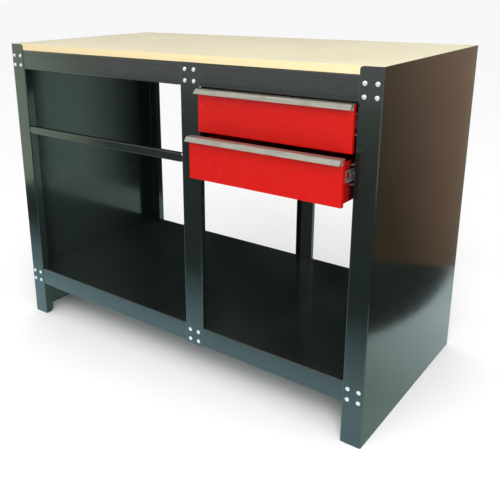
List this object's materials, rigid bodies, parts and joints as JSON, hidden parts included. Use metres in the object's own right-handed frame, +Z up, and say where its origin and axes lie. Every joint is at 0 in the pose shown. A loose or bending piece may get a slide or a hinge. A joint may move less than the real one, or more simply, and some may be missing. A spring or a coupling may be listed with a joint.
{
  "type": "workbench with drawers",
  "caption": "Steel workbench with folded end panels, a board worktop, a lower shelf, a middle leg, an open bay and a bay with two drawers on ball slides.",
  "frame": {"origin": "floor level, at the centre of the footprint with the drawers at rest", "axes": "+X to the right seen from the front, +Y to the back, +Z up"},
  "size_m": [1.2, 0.6704, 0.893],
  "materials": {
    "board": "matte fibreboard",
    "frame_paint": "glossy powder coat",
    "drawer_paint": "glossy powder coat",
    "pull_metal": "satin anodised",
    "slide_steel": "zinc plated",
    "fastener_steel": "bright zinc plated"
  },
  "bodies": {
    "frame": {"worktop_board": "board", "left_end_panel": "frame_paint", "right_end_panel": "frame_paint", "front_top_rail": "frame_paint", "rear_top_rail": "frame_paint", "lower_shelf": "frame_paint", "front_middle_leg": "frame_paint", "rear_middle_leg": "frame_paint", "left_bay_bar": "frame_paint", "left_slide_plate": "frame_paint", "right_slide_plate": "frame_paint", "front_frame_bolts": "fastener_steel", "rear_frame_bolts": "fastener_steel", "front_frame_nuts": "fastener_steel", "rear_frame_nuts": "fastener_steel", "worktop_screws": "fastener_steel", "slide_mounting_screws": "fastener_steel", "slide_mounting_nuts": "fastener_steel", "bay_bar_screws": "fastener_steel", "bay_bar_nuts": "fastener_steel", "upper_left_slide_outer": "slide_steel", "upper_right_slide_outer": "slide_steel", "lower_left_slide_outer": "slide_steel", "lower_right_slide_outer": "slide_steel"},
    "upper_drawer": {"upper_drawer_bottom": "drawer_paint", "upper_drawer_left_side": "drawer_paint", "upper_drawer_right_side": "drawer_paint", "upper_drawer_inner_front": "drawer_paint", "upper_drawer_back": "drawer_paint", "upper_drawer_front": "drawer_paint", "upper_drawer_pull": "pull_metal", "upper_left_slide_inner": "slide_steel", "upper_right_slide_inner": "slide_steel", "upper_drawer_screws": "fastener_steel", "upper_pull_rivets": "fastener_steel"},
    "upper_slide_middles": {"upper_left_slide_middle": "slide_steel", "upper_right_slide_middle": "slide_steel"},
    "upper_outer_cages": {"upper_outer_ball_cages": "slide_steel"},
    "upper_inner_cages": {"upper_inner_ball_cages": "slide_steel"},
    "lower_drawer": {"lower_drawer_bottom": "drawer_paint", "lower_drawer_left_side": "drawer_paint", "lower_drawer_right_side": "drawer_paint", "lower_drawer_inner_front": "drawer_paint", "lower_drawer_back": "drawer_paint", "lower_drawer_front": "drawer_paint", "lower_drawer_pull": "pull_metal", "lower_left_slide_inner": "slide_steel", "lower_right_slide_inner": "slide_steel", "lower_drawer_screws": "fastener_steel", "lower_pull_rivets": "fastener_steel"},
    "lower_slide_middles": {"lower_left_slide_middle": "slide_steel", "lower_right_slide_middle": "slide_steel"},
    "lower_outer_cages": {"lower_outer_ball_cages": "slide_steel"},
    "lower_inner_cages": {"lower_inner_ball_cages": "slide_steel"}
  },
  "joints": [
    {"name": "upper_drawer_slide", "type": "slide", "parent": "frame", "child": "upper_drawer", "axis": [0, -1, 0], "range_m": [0, 0.5]},
    {"name": "upper_middle_travel", "type": "slide", "parent": "frame", "child": "upper_slide_middles", "axis": [0, -1, 0], "range_m": [0, 0.25]},
    {"name": "upper_outer_cage_travel", "type": "slide", "parent": "frame", "child": "upper_outer_cages", "axis": [0, -1, 0], "range_m": [0, 0.125]},
    {"name": "upper_inner_cage_travel", "type": "slide", "parent": "frame", "child": "upper_inner_cages", "axis": [0, -1, 0], "range_m": [0, 0.375]},
    {"name": "lower_drawer_slide", "type": "slide", "parent": "frame", "child": "lower_drawer", "axis": [0, -1, 0], "range_m": [-0.037, 0.463]},
    {"name": "lower_middle_travel", "type": "slide", "parent": "frame", "child": "lower_slide_middles", "axis": [0, -1, 0], "range_m": [-0.0185, 0.2315]},
    {"name": "lower_outer_cage_travel", "type": "slide", "parent": "frame", "child": "lower_outer_cages", "axis": [0, -1, 0], "range_m": [-0.00925, 0.11575]},
    {"name": "lower_inner_cage_travel", "type": "slide", "parent": "frame", "child": "lower_inner_cages", "axis": [0, -1, 0], "range_m": [-0.02775, 0.34725]}
  ],
  "couplings": [
    {"joint": "upper_middle_travel", "follows": "upper_drawer_slide", "ratio": 0.5},
    {"joint": "upper_outer_cage_travel", "follows": "upper_drawer_slide", "ratio": 0.25},
    {"joint": "upper_inner_cage_travel", "follows": "upper_drawer_slide", "ratio": 0.75},
    {"joint": "lower_middle_travel", "follows": "lower_drawer_slide", "ratio": 0.5},
    {"joint": "lower_outer_cage_travel", "follows": "lower_drawer_slide", "ratio": 0.25},
    {"joint": "lower_inner_cage_travel", "follows": "lower_drawer_slide", "ratio": 0.75}
  ]
}
